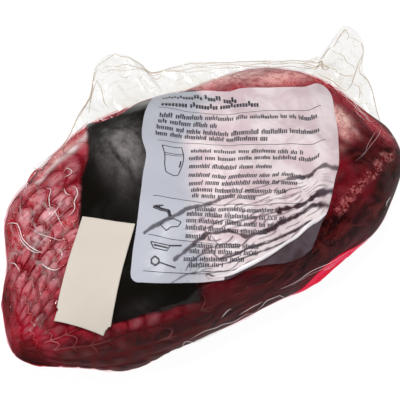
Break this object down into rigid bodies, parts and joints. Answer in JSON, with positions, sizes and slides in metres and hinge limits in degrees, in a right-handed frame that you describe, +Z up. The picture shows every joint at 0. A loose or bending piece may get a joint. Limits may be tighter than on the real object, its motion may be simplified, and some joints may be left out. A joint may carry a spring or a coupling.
{
  "type": "vacuum-packed raw boneless lamb leg",
  "caption": "Raw boneless leg of lamb in elastic netting, vacuum-sealed in a clear printed bag with an empty film margin and a blank paper sticker, lying flat.",
  "frame": {"origin": "on the ground under the middle of the pack's outline, the bag's empty margin counted in", "axes": "+X along the leg towards its narrower end, +Y towards the bag's empty margin, +Z up"},
  "size_m": [0.29, 0.2054, 0.0896],
  "materials": {
    "packed_meat": "glossy clear film over dark red meat",
    "clear_film": "clear crinkled film",
    "net_cord": "wet elastic cord",
    "dark_print": "glossy ink under film",
    "pale_print": "satin translucent ink",
    "label_paper": "matt"
  },
  "bodies": {
    "root": {"lamb_pack": "packed_meat", "paper_sticker": "label_paper"}
  },
  "joints": []
}
